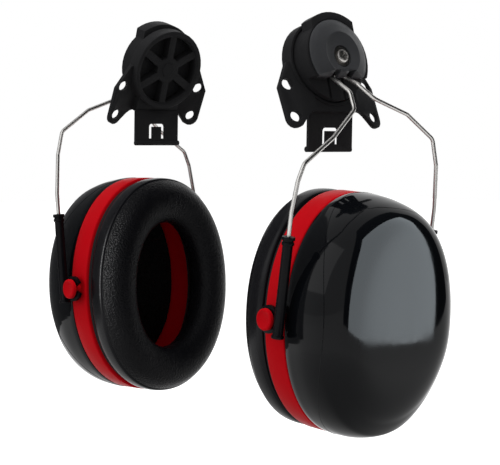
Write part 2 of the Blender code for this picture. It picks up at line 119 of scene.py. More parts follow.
floor_bm = bmesh.new()
bmesh.ops.create_grid(floor_bm, x_segments=2, y_segments=2, size=FLOOR_HALF)
bmesh.ops.translate(floor_bm, vec=(0.0, 0.0, FLOOR_Z), verts=floor_bm.verts[:])
floor_mesh = bpy.data.meshes.new("floor")
floor_bm.to_mesh(floor_mesh)
floor_bm.free()
floor = bpy.data.objects.new("floor", floor_mesh)
bpy.context.scene.collection.objects.link(floor)

paper = bpy.data.materials.new("pale_floor")
paper.use_nodes = True
tree = paper.node_tree
shader = tree.nodes["Principled BSDF"]
shader.inputs["Base Color"].default_value = FLOOR_COLOUR
shader.inputs["Roughness"].default_value = FLOOR_ROUGH
shader.inputs["Emission Strength"].default_value = 1.0
place = node(tree, "ShaderNodeTexCoord")
away = node(tree, "ShaderNodeVectorMath", operation="LENGTH")
glow = node(tree, "ShaderNodeMapRange")
glow.inputs["From Min"].default_value = GLOW_REACH[0]
glow.inputs["From Max"].default_value = GLOW_REACH[1]
glow.inputs["To Min"].default_value = GLOW_LEVEL[0]
glow.inputs["To Max"].default_value = GLOW_LEVEL[1]
seen = node(tree, "ShaderNodeMath", operation="MULTIPLY")
tree.links.new(place.outputs["Object"], away.inputs[0])
tree.links.new(away.outputs["Value"], glow.inputs["Value"])
tree.links.new(glow.outputs["Result"], seen.inputs[0])
tree.links.new(backdrop_rays(tree), seen.inputs[1])
tree.links.new(seen.outputs["Value"], shader.inputs["Emission Color"])
floor_mesh.materials.append(paper)
print("floor at", FLOOR_Z)

# %% Room
ROOM_LEVEL = 0.55
FLOAT_A, FLOAT_B, FLOAT_RESULT = 2, 3, 0

world = bpy.data.worlds.new("studio")
bpy.context.scene.world = world
world.use_nodes = True
tree = world.node_tree
back = tree.nodes["Background"]
back.inputs["Color"].default_value = (1.0, 1.0, 1.0, 1.0)
white = node(tree, "ShaderNodeMix", data_type="FLOAT")
white.inputs[FLOAT_A].default_value = ROOM_LEVEL
white.inputs[FLOAT_B].default_value = 1.0
tree.links.new(backdrop_rays(tree), white.inputs["Factor"])
tree.links.new(white.outputs[FLOAT_RESULT], back.inputs["Strength"])
print("room light", ROOM_LEVEL)

# %% [markdown]
# ## Lamps
# Polished black shows little but what it mirrors, so the lamps are large soft panels.
# The panel on the right plays a tall window. Only the polished shells receive it, and only as a reflection,
# so they show one crisp patch while the matte pieces and the wire keep their plain light. In the same way
# a narrow strip on the left draws a highlight along the crown of the cushion that faces the camera.

# %% Lamps
AIM = Vector((0.0, 0.0, -0.05))
WINDOW_AT = (0.753, 0.160, 0.21)
WINDOW_TINT = (0.85, 0.94, 1.0)
PANELS = [
    ("panel_left", (-0.35, -1.30, 0.70), (1.3, 1.1), 5.0),
    ("panel_right", WINDOW_AT, (1.25, 1.42), 59.0),
    ("panel_top", (0.05, 0.05, 1.15), (1.2, 0.9), 8.0),
    ("panel_strip", (-0.38, -1.02, 0.10), (0.12, 0.80), 18.0),
]


def facing(at):
    """The turn that points a lamp or a card at the object."""
    return (AIM - Vector(at)).to_track_quat("-Z", "Y")


def panel(name, at, size, power):
    """A soft rectangular lamp that faces the object."""
    data = bpy.data.lights.new(name, "AREA")
    data.shape = "RECTANGLE"
    data.size, data.size_y = size
    data.energy = power
    lamp = bpy.data.objects.new(name, data)
    lamp.location = at
    lamp.visible_camera = False
    lamp.rotation_euler = facing(at).to_euler()
    bpy.context.scene.collection.objects.link(lamp)
    return lamp


lamps = {row[0]: panel(*row) for row in PANELS}
window = lamps["panel_right"]
window.data.color = WINDOW_TINT
window.visible_diffuse = False
polished = bpy.data.collections.new("polished")
window.light_linking.receiver_collection = polished
lamps["panel_top"].visible_glossy = False
strip = lamps["panel_strip"]
strip.visible_diffuse = False
crowned = bpy.data.collections.new("crowned")
strip.light_linking.receiver_collection = crowned
print("panels:", list(lamps))

# %% [markdown]
# ## Effects that several finishes share
# Moulded plastic is never one flat colour: the tone drifts a little, handling leaves rubbed patches, and the
# mould's own texture breaks up the highlight. Each is a small node group with named inputs, built once.
# The groups read Object coordinates in metres, so the grain has the same real size on every piece.

# %% Shared node groups
COLOUR = "NodeSocketColor"
NUMBER = "NodeSocketFloat"
RGBA_A, RGBA_B, RGBA_RESULT = 6, 7, 2
PATCH_STRETCH = (1.0, 1.0, 0.35)
PATCH_RANGE = (0.35, 0.65)
PIT_SCALE = 0.6


def group(name, inputs, outputs):
    """An empty shader node group with its sockets, and its two end nodes."""
    made = bpy.data.node_groups.new(name, "ShaderNodeTree")
    for label, kind, value in inputs:
        socket = made.interface.new_socket(label, in_out="INPUT", socket_type=kind)
        socket.default_value = value
    for label, kind in outputs:
        made.interface.new_socket(label, in_out="OUTPUT", socket_type=kind)
    return made, made.nodes.new("NodeGroupInput"), made.nodes.new("NodeGroupOutput")


TONE_INPUTS = [
    ("Colour", COLOUR, (0.5, 0.5, 0.5, 1.0)),
    ("Other", COLOUR, (0.6, 0.6, 0.6, 1.0)),
    ("Size", NUMBER, 60.0),
]
drift, into, out = group("tone_drift", TONE_INPUTS, [("Colour", COLOUR)])
place = node(drift, "ShaderNodeTexCoord")
cloud = node(drift, "ShaderNodeTexNoise", Detail=4.0, Roughness=0.6)
blend = node(drift, "ShaderNodeMix", data_type="RGBA")
drift.links.new(place.outputs["Object"], cloud.inputs["Vector"])
drift.links.new(into.outputs["Size"], cloud.inputs["Scale"])
drift.links.new(cloud.outputs["Fac"], blend.inputs["Factor"])
drift.links.new(into.outputs["Colour"], blend.inputs[RGBA_A])
drift.links.new(into.outputs["Other"], blend.inputs[RGBA_B])
drift.links.new(blend.outputs[RGBA_RESULT], out.inputs["Colour"])

RUB_INPUTS = [("Smooth", NUMBER, 0.3), ("Rough", NUMBER, 0.5), ("Size", NUMBER, 90.0)]
rub, into, out = group("rubbed_patches", RUB_INPUTS, [("Roughness", NUMBER)])
place = node(rub, "ShaderNodeTexCoord")
stretch = node(rub, "ShaderNodeMapping", Scale=PATCH_STRETCH)
cloud = node(rub, "ShaderNodeTexNoise", Detail=6.0, Roughness=0.7)
spread = node(rub, "ShaderNodeMapRange")
spread.inputs["From Min"].default_value = PATCH_RANGE[0]
spread.inputs["From Max"].default_value = PATCH_RANGE[1]
rub.links.new(place.outputs["Object"], stretch.inputs["Vector"])
rub.links.new(stretch.outputs["Vector"], cloud.inputs["Vector"])
rub.links.new(into.outputs["Size"], cloud.inputs["Scale"])
rub.links.new(cloud.outputs["Fac"], spread.inputs["Value"])
rub.links.new(into.outputs["Smooth"], spread.inputs["To Min"])
rub.links.new(into.outputs["Rough"], spread.inputs["To Max"])
rub.links.new(spread.outputs["Result"], out.inputs["Roughness"])

GRAIN_INPUTS = [("Size", NUMBER, 1800.0), ("Pits", NUMBER, 0.5)]
grain, into, out = group("mould_grain", GRAIN_INPUTS, [("Height", NUMBER)])
place = node(grain, "ShaderNodeTexCoord")
fine = node(grain, "ShaderNodeTexNoise", Detail=3.0, Roughness=0.55)
cells = node(grain, "ShaderNodeTexVoronoi", feature="F1")
coarser = node(grain, "ShaderNodeMath", operation="MULTIPLY")
coarser.inputs[1].default_value = PIT_SCALE
pits = node(grain, "ShaderNodeMath", operation="MULTIPLY")
total = node(grain, "ShaderNodeMath", operation="ADD")
grain.links.new(place.outputs["Object"], fine.inputs["Vector"])
grain.links.new(place.outputs["Object"], cells.inputs["Vector"])
grain.links.new(into.outputs["Size"], fine.inputs["Scale"])
grain.links.new(into.outputs["Size"], coarser.inputs[0])
grain.links.new(coarser.outputs["Value"], cells.inputs["Scale"])
grain.links.new(cells.outputs["Distance"], pits.inputs[0])
grain.links.new(into.outputs["Pits"], pits.inputs[1])
grain.links.new(fine.outputs["Fac"], total.inputs[0])
grain.links.new(pits.outputs["Value"], total.inputs[1])
grain.links.new(total.outputs["Value"], out.inputs["Height"])
print("groups:", [g.name for g in bpy.data.node_groups])

# %% [markdown]
# ## Finishes
# The bracket and housing are matte black with a fine spark-eroded grain, and the sleeves are satin black.
# The hub's cover is a lighter grey-black, a painted sheen that stands in for the highlight it catches.
# The outer shell is polished black, and the band and buttons are red.
# The fork is spring steel and the screw is zinc plated. The ear cushion has a film wall and a pebbled skin,
# and the pad inside the cup is open foam. The grey finish is for a card beside the object.

# %% Finish maker


def finish(name, colours, tone_size, rough, rub_size, grain_size, pits, bump, shine=0.5, metal=0.0):
    """A Principled material fed by the three shared groups. The bump is its strength and its depth."""
    made = bpy.data.materials.new(name)
    made.use_nodes = True
    tree = made.node_tree
    shader = tree.nodes["Principled BSDF"]
    shader.inputs["Metallic"].default_value = metal
    shader.inputs["Specular IOR Level"].default_value = shine
    tone = node(tree, "ShaderNodeGroup", node_tree=drift)
    tone.inputs["Colour"].default_value = (*colours[0], 1.0)
    tone.inputs["Other"].default_value = (*colours[1], 1.0)
    tone.inputs["Size"].default_value = tone_size
    patches = node(tree, "ShaderNodeGroup", node_tree=rub)
    patches.inputs["Smooth"].default_value = rough[0]
    patches.inputs["Rough"].default_value = rough[1]
    patches.inputs["Size"].default_value = rub_size
    texture = node(tree, "ShaderNodeGroup", node_tree=grain)
    texture.inputs["Size"].default_value = grain_size
    texture.inputs["Pits"].default_value = pits
    relief = node(tree, "ShaderNodeBump", Strength=bump[0], Distance=bump[1])
    tree.links.new(tone.outputs["Colour"], shader.inputs["Base Color"])
    tree.links.new(patches.outputs["Roughness"], shader.inputs["Roughness"])
    tree.links.new(texture.outputs["Height"], relief.inputs["Height"])
    tree.links.new(relief.outputs["Normal"], shader.inputs["Normal"])
    return made


print("finish maker ready")

# %% Finishes
matte_black = finish("matte_black", colours=((0.014, 0.014, 0.015), (0.022, 0.022, 0.023)), tone_size=70.0,
                     rough=(0.42, 0.58), rub_size=120.0, grain_size=2600.0, pits=0.5, bump=(0.35, 0.00012),
                     shine=0.045)
# The hub cover's lighter grey-black base colour is painted sheen: it stands in for the highlight the cover
# catches.
painted_sheen_black = finish("painted_sheen_black", colours=((0.034, 0.035, 0.038), (0.056, 0.058, 0.062)), tone_size=60.0,
                    rough=(0.34, 0.48), rub_size=150.0, grain_size=2600.0, pits=0.5, bump=(0.35, 0.00012),
                    shine=0.20)
satin_black = finish("satin_black", colours=((0.002, 0.002, 0.003), (0.005, 0.005, 0.006)), tone_size=90.0,
                     rough=(0.24, 0.36), rub_size=160.0, grain_size=2200.0, pits=0.2, bump=(0.10, 0.00008),
                     shine=0.08)
gloss_black = finish("gloss_black", colours=((0.002, 0.002, 0.003), (0.004, 0.005, 0.006)), tone_size=30.0,
                     rough=(0.05, 0.09), rub_size=60.0, grain_size=500.0, pits=0.1, bump=(0.02, 0.00006),
                     shine=0.12)
red_plastic = finish("red_plastic", colours=((0.50, 0.002, 0.006), (0.60, 0.004, 0.010)), tone_size=40.0,
                     rough=(0.30, 0.40), rub_size=110.0, grain_size=1500.0, pits=0.2, bump=(0.06, 0.00006),
                     shine=0.02)
steel_wire = finish("steel_wire", colours=((0.56, 0.55, 0.53), (0.68, 0.665, 0.645)), tone_size=60.0,
                    rough=(0.38, 0.46), rub_size=120.0, grain_size=2600.0, pits=0.3, bump=(0.02, 0.00003),
                    metal=1.0)
zinc = finish("zinc", colours=((0.40, 0.385, 0.365), (0.55, 0.535, 0.51)), tone_size=500.0,
              rough=(0.30, 0.46), rub_size=900.0, grain_size=2600.0, pits=0.4, bump=(0.12, 0.00005),
              metal=1.0)
cushion_skin = finish("cushion_skin", colours=((0.003, 0.003, 0.004), (0.006, 0.006, 0.007)), tone_size=55.0,
                      rough=(0.24, 0.32), rub_size=140.0, grain_size=1700.0, pits=1.0, bump=(0.75, 0.00034),
                      shine=0.08)
cushion_wall = finish("cushion_wall", colours=((0.004, 0.004, 0.005), (0.007, 0.007, 0.009)), tone_size=55.0,
                      rough=(0.18, 0.28), rub_size=90.0, grain_size=900.0, pits=0.2, bump=(0.08, 0.00010),
                      shine=0.12)
open_foam = finish("open_foam", colours=((0.002, 0.002, 0.002), (0.008, 0.008, 0.009)), tone_size=900.0,
                   rough=(0.85, 0.98), rub_size=300.0, grain_size=1100.0, pits=1.6, bump=(1.0, 0.00060),
                   shine=0.15)
grey_paper = finish("grey_card", colours=((0.34, 0.34, 0.35), (0.42, 0.42, 0.43)), tone_size=20.0,
                    rough=(0.60, 0.80), rub_size=40.0, grain_size=800.0, pits=0.3, bump=(0.05, 0.00010),
                    shine=0.10)
print("finishes:", len(bpy.data.materials))

# %% [markdown]
# ## Cards
# In a white room polished black turns grey, so a photographer stands cards where the shells mirror it.
# Two black cards behind the window give its patch a dark edge, and a grey card keeps the far shell dark.
# Only mirrored rays meet the cards, so they throw no shadow and take no light from the object.

# %% Cards
CARD_GAP = 0.03
CARDS = [
    ("card_right", WINDOW_AT, (-1.05, 1.60), (-0.66, 2.40), matte_black),
    ("card_far", WINDOW_AT, (0.62, 1.60), (-1.05, -0.66), matte_black),
    ("card_left", (-0.42, -0.14, 0.02), (-0.45, 0.45), (-0.30, 0.50), grey_paper),
]

for name, at, across, up, look in CARDS:
    card_bm = bmesh.new()
    corners = [(across[0], up[0]), (across[1], up[0]), (across[1], up[1]), (across[0], up[1])]
    card_bm.faces.new([card_bm.verts.new((x, y, CARD_GAP)) for x, y in corners])
    stand = Matrix.LocRotScale(Vector(at), facing(at), None)
    bmesh.ops.transform(card_bm, verts=card_bm.verts[:], matrix=stand)
    card_mesh = bpy.data.meshes.new(name)
    card_bm.to_mesh(card_mesh)
    card_bm.free()
    card_mesh.materials.append(look)
    card = bpy.data.objects.new(name, card_mesh)
    card.visible_camera = False
    card.visible_diffuse = False
    card.visible_shadow = False
    bpy.context.scene.collection.objects.link(card)
print("cards:", len(CARDS))

# %% [markdown]
# ## Working frame of one unit
# Both units are the same moulding, turned half round. A unit is drawn in millimetres: n points out from the
# head, v to the front and w up, from the middle of the red band. Then it goes to its place in metres.

# %% Frames
CUP_LEAN = 2.3
TO_MM = 1000.0
TO_M = 0.001
pivots = {joint["name"]: Vector(joint["pos_m"]) * TO_MM for joint in frame["joints"] if joint.get("pos_m")}


def unit_frame(side):
    """Carries a point of a unit, in millimetres, to its place in metres."""
    pin = pivots["right_cup_pivot"]
    turn = Matrix.Rotation(0.0 if side == "right" else math.pi, 4, "Z")
    return Matrix.Scale(TO_M, 4) @ turn @ Matrix.Translation(pin)


def cup_frame(side):
    """The same for a point of a cup, which leans a little on its pins."""
    return unit_frame(side) @ Matrix.Rotation(math.radians(CUP_LEAN), 4, "Y")


print("pivots:", len(pivots))

# %% [markdown]
# ## Helpers for the pieces
# Most pieces are lofts: a circle of points is extruded from place to place, and each place gives its outline.
# A cup's outlines are ovals, a little higher above the pins than below, with a smooth curve between stations.
# Each finished piece is smoothed but for its creases, and rides on the body that carries it.

# %% Building helpers
CREASE_ANGLE = 34.0
WELD = 0.001


def place_piece(name, bm, look, body, stands_for=(), where=None, crease=CREASE_ANGLE):
    """Makes the bmesh an object that rides on a body, smooth but for its creases."""
    if where is not None:
        bmesh.ops.transform(bm, matrix=where, verts=bm.verts[:])
    mesh = bpy.data.meshes.new(name)
    bm.to_mesh(mesh)
    bm.free()
    mesh.shade_smooth()
    mesh.set_sharp_from_angle(angle=math.radians(crease))
    mesh.materials.append(look)
    made = bpy.data.objects.new(name, mesh)
    bpy.context.scene.collection.objects.link(made)
    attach(made, body)
    if stands_for:
        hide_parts(*stands_for)
    return made


def grown(points, places, ring=False):
    """A circle of points extruded from place to place, with closed ends, or joined to its start as a ring."""
    bm = bmesh.new()
    turn = bm.verts.layers.float.new("turn")
    loop = bmesh.ops.create_circle(bm, segments=points, radius=1.0)["verts"]
    for vert in loop:
        vert[turn] = math.atan2(vert.co.y, vert.co.x)
    edges = bm.edges[:]
    start = edges
    for step, place in enumerate(places):
        if step:
            made = bmesh.ops.extrude_edge_only(bm, edges=edges)["geom"]
            loop = set(part for part in made if isinstance(part, bmesh.types.BMVert))
            edges = [part for part in made if isinstance(part, bmesh.types.BMEdge)]
            edges = [edge for edge in edges if loop.issuperset(edge.verts)]
        for vert in loop:
            vert.co = place(vert[turn])
    if ring:
        bmesh.ops.bridge_loops(bm, edges=start + edges)
    bmesh.ops.remove_doubles(bm, verts=bm.verts[:], dist=WELD)
    bmesh.ops.delete(bm, geom=[edge for edge in bm.edges if not edge.link_faces], context="EDGES")
    bmesh.ops.holes_fill(bm, edges=[edge for edge in bm.edges if edge.is_boundary], sides=0)
    bmesh.ops.recalc_face_normals(bm, faces=bm.faces[:])
    return bm


def egg(n, half, top, bottom, power=2.1):
    """The cup's outline at depth n: an oval whose upper and lower halves differ."""
    def place(t):
        c = math.cos(t)
        s = math.sin(t)
        v = half * math.copysign(abs(c) ** (2.0 / power), c)
        w = (top if s > 0 else bottom) * math.copysign(abs(s) ** (2.0 / power), s)
        return Vector((n, v, w))
    return place


def through(stations, steps):
    """Stations on a smooth curve through the given ones."""
    made = []
    last = len(stations) - 1
    for i in range(last):
        a = stations[max(i - 1, 0)]
        b = stations[i]
        c = stations[i + 1]
        d = stations[min(i + 2, last)]
        for k in range(steps):
            f = k / steps
            row = []
            for pa, pb, pc, pd in zip(a, b, c, d):
                row.append(0.5 * (2 * pb + (pc - pa) * f + (2 * pa - 5 * pb + 4 * pc - pd) * f ** 2
                                  + (3 * pb - pa - 3 * pc + pd) * f ** 3))
            made.append(tuple(row))
    made.append(tuple(stations[-1]))
    return made


print("building helpers ready")

# %% [markdown]
# ## Outer shell
# The polished cup back is an injection moulding: straight side walls, a large fillet and a nearly flat face.
# It is lofted as ovals from the middle of the face outward, round the lip at the red band, and back inside.
# Below a soft crease the face leans back, so the loft is cut there in level rows and the lower rows move in.
# Where the mould's halves met, a hair-thin line is left, and it is laid on the finished skin as a fine bead.

# %% Shell shape
CUP_POINTS = 120
SHELL_STEPS = 4
SHELL_OUT = [
    (44.5, 0.0, 0.0, 0.0), (44.5, 14.0, 26.0, 18.0), (44.2, 25.0, 42.6, 31.6), (43.2, 30.6, 48.4, 39.4),
    (41.0, 35.0, 52.0, 46.0), (37.5, 38.9, 54.6, 51.0), (33.0, 41.9, 56.6, 54.8), (28.0, 43.9, 58.2, 57.4),
    (20.0, 45.0, 60.0, 59.2), (11.0, 44.7, 61.0, 59.6),
]
SHELL_LIP = [
    (8.0, 44.4, 61.0, 59.6), (7.45, 44.15, 60.8, 59.4), (7.3, 43.6, 60.3, 58.9), (7.3, 41.8, 58.5, 56.9),
]
SHELL_IN = [
    (18.0, 42.9, 57.4, 56.2), (27.0, 42.6, 55.0, 52.8), (33.6, 39.8, 51.0, 47.2), (38.6, 34.0, 44.6, 38.6),
    (41.6, 24.5, 35.0, 27.4), (42.2, 13.0, 21.0, 15.0), (42.2, 0.0, 0.0, 0.0),
]
CREASE_W = -15.0
CREASE_CUTS = (7.5, 6.0, 4.5, 3.0, 1.5, 0.0, -1.5, -3.0, -4.5, -6.0, -7.5)
CREASE_SOFT = 6.0
CREASE_SLOPE = 0.09
CUT_SNAP = 0.02
FACE_START = 31.0
FACE_FULL = 39.0


def fold_face(shell):
    """Leans the face below the crease back towards the head."""
    for step in CREASE_CUTS:
        level = CREASE_W + step
        bmesh.ops.bisect_plane(shell, geom=shell.verts[:] + shell.edges[:] + shell.faces[:], dist=CUT_SNAP,
                               plane_co=(0.0, 0.0, level), plane_no=(0.0, 0.0, 1.0))
    for vert in shell.verts:
        share = min(max((vert.co.x - FACE_START) / (FACE_FULL - FACE_START), 0.0), 1.0)
        below = CREASE_W - vert.co.z
        if below < CREASE_SOFT:
            below = max(below + CREASE_SOFT, 0.0) ** 2 / (4.0 * CREASE_SOFT)
        vert.co.x -= CREASE_SLOPE * share * below


print("shell stations:", len(SHELL_OUT) + len(SHELL_LIP) + len(SHELL_IN))

# %% Outer shells
SEAM_N = 32.5
SEAM_BOW = 0.0063
SEAM_R = 0.16
SEAM_POINTS = 160
SEAM_SIDES = 6
SEAM_START = 50.0
SEAM_TRIES = 4
OUTSIDE = 90.0


def bead(spot, outward):
    """A small circle across the bead at one spot of the skin."""
    def place(t):
        return spot + outward * (SEAM_R * math.cos(t)) + Vector((SEAM_R * math.sin(t), 0.0, 0.0))
    return place


def parting_line(skin):
    """A hair-thin bead where the face meets the side wall, laid on the skin all the way round."""
    places = []
    for k in range(SEAM_POINTS):
        turn = 2.0 * math.pi * k / SEAM_POINTS
        outward = Vector((0.0, math.cos(turn), math.sin(turn)))
        spot = outward * SEAM_START
        for _ in range(SEAM_TRIES):
            depth = SEAM_N - SEAM_BOW * spot.z ** 2
            spot = skin.ray_cast(Vector((depth, 0.0, 0.0)) + outward * OUTSIDE, -outward)[0]
        places.append(bead(spot, outward))
    return grown(SEAM_SIDES, places, ring=True)


for side in SIDES:
    stations = through(SHELL_OUT, SHELL_STEPS) + SHELL_LIP + SHELL_IN
    shell = grown(CUP_POINTS, [egg(*station) for station in stations])
    fold_face(shell)
    line = parting_line(BVHTree.FromBMesh(shell))
    place_piece(side + "_parting_line", line, gloss_black, side + "_cup", (), cup_frame(side))
    made = place_piece(side + "_outer_shell", shell, gloss_black, side + "_cup",
                       (side + "_outer_cup",), cup_frame(side))
    polished.objects.link(made)
print("outer shells")

# %% [markdown]
# ## Red inner cup, its band and its buttons
# The red moulding is a bowl with a wide rim: the rim shows as a band all round, and the bowl's wall shows
# past the foam inside. A stud on each side of the band ends in a flat button that holds the wire's sleeve.
# The bowl is lofted as a closed ring of ovals, and each stud is a profile spun round its own axis.

# %% Red cups
HALF = 44.4
TOP = 61.0
BOTTOM = 59.5
BOWL_FROM = 8.0
BOWL_LOW = 1.25
BOWL_STEPS = 3
STUD_STEPS = 40
BAND_OUT = [
    (-7.0, -5.2), (-7.0, -0.9), (-6.85, -0.4), (-6.5, -0.1), (-6.0, 0.0), (0.0, 0.0), (6.0, 0.0), (6.5, -0.1),
    (6.85, -0.4), (7.0, -0.9), (7.0, -4.6),
]
BOWL_OUT = [
    (11.5, -5.4), (16.0, -6.4), (23.0, -10.0), (28.0, -15.5), (30.0, -22.0), (30.2, -34.0), (30.2, -44.4),
]
BOWL_IN = [
    (28.4, -44.4), (28.4, -34.0), (28.2, -22.6), (26.4, -16.8), (21.8, -11.8), (15.4, -8.4), (6.0, -6.4),
    (-6.6, -5.6),
]
BUTTON = [
    (42.0, 2.6), (49.2, 2.6), (49.2, 4.9), (49.35, 5.2), (49.6, 5.4), (50.8, 5.4), (51.3, 5.2), (51.55, 4.8),
    (51.6, 4.3), (51.35, 3.9), (51.35, 0.4),
]


def band_egg(n, inset):
    """The band's own outline, drawn in or out by an inset, a little more below the pins deep in the bowl."""
    if inset <= -HALF:
        return egg(n, 0.0, 0.0, 0.0)
    low = inset if n < BOWL_FROM else inset * BOWL_LOW
    return egg(n, HALF + inset, TOP + inset, max(BOTTOM + low, 0.0))


for side in SIDES:
    steps = BAND_OUT + through(BOWL_OUT, BOWL_STEPS) + through(BOWL_IN, BOWL_STEPS)
    cup = grown(CUP_POINTS, [band_egg(*step) for step in steps], ring=True)
    place_piece(side + "_red_cup", cup, red_plastic, side + "_cup",
                (side + "_inner_cup",), cup_frame(side))
    for label, sign in (("front", 1.0), ("rear", -1.0)):
        stud = bmesh.new()
        line = [stud.verts.new((0.0, sign * v, r)) for v, r in BUTTON]
        edges = [stud.edges.new(pair) for pair in zip(line, line[1:])]
        bmesh.ops.spin(stud, geom=line + edges, cent=(0, 0, 0), axis=(0, 1, 0), dvec=(0, 0, 0),
                       angle=2 * math.pi, steps=STUD_STEPS, use_merge=True, use_duplicate=False)
        bmesh.ops.holes_fill(stud, edges=[e for e in stud.edges if e.is_boundary], sides=0)
        bmesh.ops.recalc_face_normals(stud, faces=stud.faces[:])
        place_piece(side + "_button_" + label, stud, red_plastic, side + "_cup",
                    (), cup_frame(side))
print("red cups and buttons")

# %% [markdown]
# ## Cushion plate
# The cushion is welded to a thin black plate that snaps into the cup. Only its rounded rim shows, beside the
# band, so it is a flat ring lofted in the band's own outline.

# %% Cushion plates
PLATE = [
    (-7.3, -2.0), (-7.45, -1.7), (-7.8, -1.6), (-9.1, -1.6), (-9.45, -1.7), (-9.6, -2.0), (-9.6, -17.2),
    (-9.4, -17.6), (-7.5, -17.6), (-7.3, -17.2),
]

for side in SIDES:
    plate = grown(CUP_POINTS, [band_egg(*step) for step in PLATE], ring=True)
    place_piece(side + "_seal_plate", plate, matte_black, side + "_cup",
                (side + "_cushion_plate",), cup_frame(side))
print("cushion plates")

# %% [markdown]
# ## Ear cushion
# A soft ring of skin over foam. Its outer wall is smooth film, and past a welded groove the front is pebbled.
# Skin under pressure crowns by itself, so a slightly slack ring is blown up as cloth, with its back row
# pinned to the plate and each point's travel capped. Then a subdivision smooths it.

# %% Cushion shape
CUSHION_POINTS = 72
CUSHION = [
    (-10.1, -1.6), (-11.2, -0.6), (-13.4, -0.1), (-16.8, -0.1), (-19.4, -0.3), (-20.4, -0.6), (-20.7, -1.3),
    (-21.0, -1.7), (-21.3, -1.3), (-22.2, -1.7), (-24.0, -2.7), (-26.4, -4.3), (-28.4, -6.4), (-29.9, -9.2),
    (-30.5, -12.4), (-30.1, -15.6), (-28.8, -18.4), (-26.6, -20.6), (-23.6, -21.8), (-19.6, -21.9),
    (-15.8, -21.2), (-12.6, -20.2), (-10.6, -19.0), (-10.1, -16.4), (-10.1, -11.0), (-10.1, -5.6),
]
WALL_EDGE = -20.9
WALL_REACH = 0.8
EYE_FROM = -12.0
EYE_DRAW = 1.35
PINNED_N = -10.4
TRAVEL = 0.7
PRESSURE = 4.0
STRETCH = 25.0
BENDING = 2.0


def seal_egg(n, inset):
    """The band's outline, with the opening drawn in more above and below."""
    deep = inset
    if inset < EYE_FROM:
        deep = EYE_FROM + (inset - EYE_FROM) * EYE_DRAW
    return egg(n, HALF + inset, TOP + deep, BOTTOM + deep)


def blow_up(made, cup, frames):
    """Cloth pressure on the piece's own mesh, capped, with the plate side pinned."""
    back = cup.inverted()
    pins = made.vertex_groups.new(name="plate")
    pins.add([v.index for v in made.data.vertices if (back @ v.co).x > PINNED_N], 1.0, "REPLACE")
    start = [v.co.copy() for v in made.data.vertices]
    cloth = made.modifiers.new("air", "CLOTH")
    cloth.settings.use_pressure = True
    cloth.settings.uniform_pressure_force = PRESSURE
    cloth.settings.vertex_group_mass = "plate"
    cloth.settings.effector_weights.gravity = 0.0
    cloth.settings.tension_stiffness = STRETCH
    cloth.settings.compression_stiffness = STRETCH
    cloth.settings.bending_stiffness = BENDING
    scene = bpy.context.scene
    for step in range(1, frames + 1):
        scene.frame_set(step)
    puffed = made.evaluated_get(bpy.context.evaluated_depsgraph_get()).data
    moved = [v.co.copy() for v in puffed.vertices]
    made.modifiers.remove(cloth)
    scene.frame_set(1)
    most = 0.0
    for vert, a, b in zip(made.data.vertices, start, moved):
        step = b - a
        most = max(most, step.length)
        if step.length > TRAVEL * TO_M:
            step = step.normalized() * TRAVEL * TO_M
        vert.co = a + step
    made.data.update()
    return most


print("cushion stations:", len(CUSHION))

# %% Ear cushions
NO_CREASE = 180.0
CLOTH_FRAMES = 20
SMOOTH_LEVELS = 2

for side in SIDES:
    ring = grown(CUSHION_POINTS, [seal_egg(*step) for step in CUSHION], ring=True)
    cup = cup_frame(side)
    made = place_piece(side + "_ear_cushion", ring, cushion_skin, side + "_cup",
                       (side + "_cushion",), cup, crease=NO_CREASE)
    made.data.materials.append(cushion_wall)
    back = cup.inverted()
    for face in made.data.polygons:
        spot = back @ face.center
        reach = math.hypot(spot.y / HALF, spot.z / (TOP if spot.z > 0 else BOTTOM))
        if spot.x > WALL_EDGE and reach > WALL_REACH:
            face.material_index = 1
    print(side, "cushion travel", round(blow_up(made, cup, CLOTH_FRAMES) * TO_MM, 2), "mm")
    if side == "left":
        crowned.objects.link(made)
    smooth = made.modifiers.new("smooth", "SUBSURF")
    smooth.levels = SMOOTH_LEVELS
    smooth.render_levels = SMOOTH_LEVELS
print("ear cushions")

# %% [markdown]
# ## Foam in the cup
# A die-cut pad of open foam lines the bottom of the bowl and soaks up the sound. Its edge is cut round and
# slightly crushed, and its face is full of small open cells, so the surface is dull and speckled.
# Die-cut foam doesn't inflate, so the pad is shaped as a stack of ovals.

# %% Foam pads
FOAM = [
    (15.6, -44.4), (15.4, -30.0), (15.0, -20.0), (14.8, -14.0), (15.2, -12.0), (16.2, -11.2), (18.0, -11.6),
    (21.0, -13.6), (25.0, -18.6), (26.4, -24.0), (26.6, -44.4),
]

for side in SIDES:
    pad = grown(CUP_POINTS, [band_egg(*step) for step in FOAM])
    made = place_piece(side + "_foam_pad", pad, open_foam, side + "_cup",
                       (side + "_foam_liner",), cup_frame(side))
print("foam pads")

# %% [markdown]
# ## Spring wire fork
# One length of hard steel wire makes the fork: it crosses the hub, leaves it through two slots and bends
# in straight runs round the cup to the sleeves. The bends are small, as a wire former makes them.
# A circle is carried along the bent line without twist, so the wire stays one round bar from end to end.

# %% Wire path
BEND_R = 4.5
BEND_STEPS = 4
BEND_SHARE = 0.42
LEG_N = 8.4
LEG_V = 48.6
LEG_TOP = 52.0
LEG_END = 8.0
LEG_LEAN = math.tan(math.radians(8.0))
CROSS_HALF = 4.8


def on_leg(sign, w):
    """A point at height w on the straight end of a leg, which slides in its sleeve."""
    return (LEG_N + LEG_LEAN * w, sign * LEG_V, w)


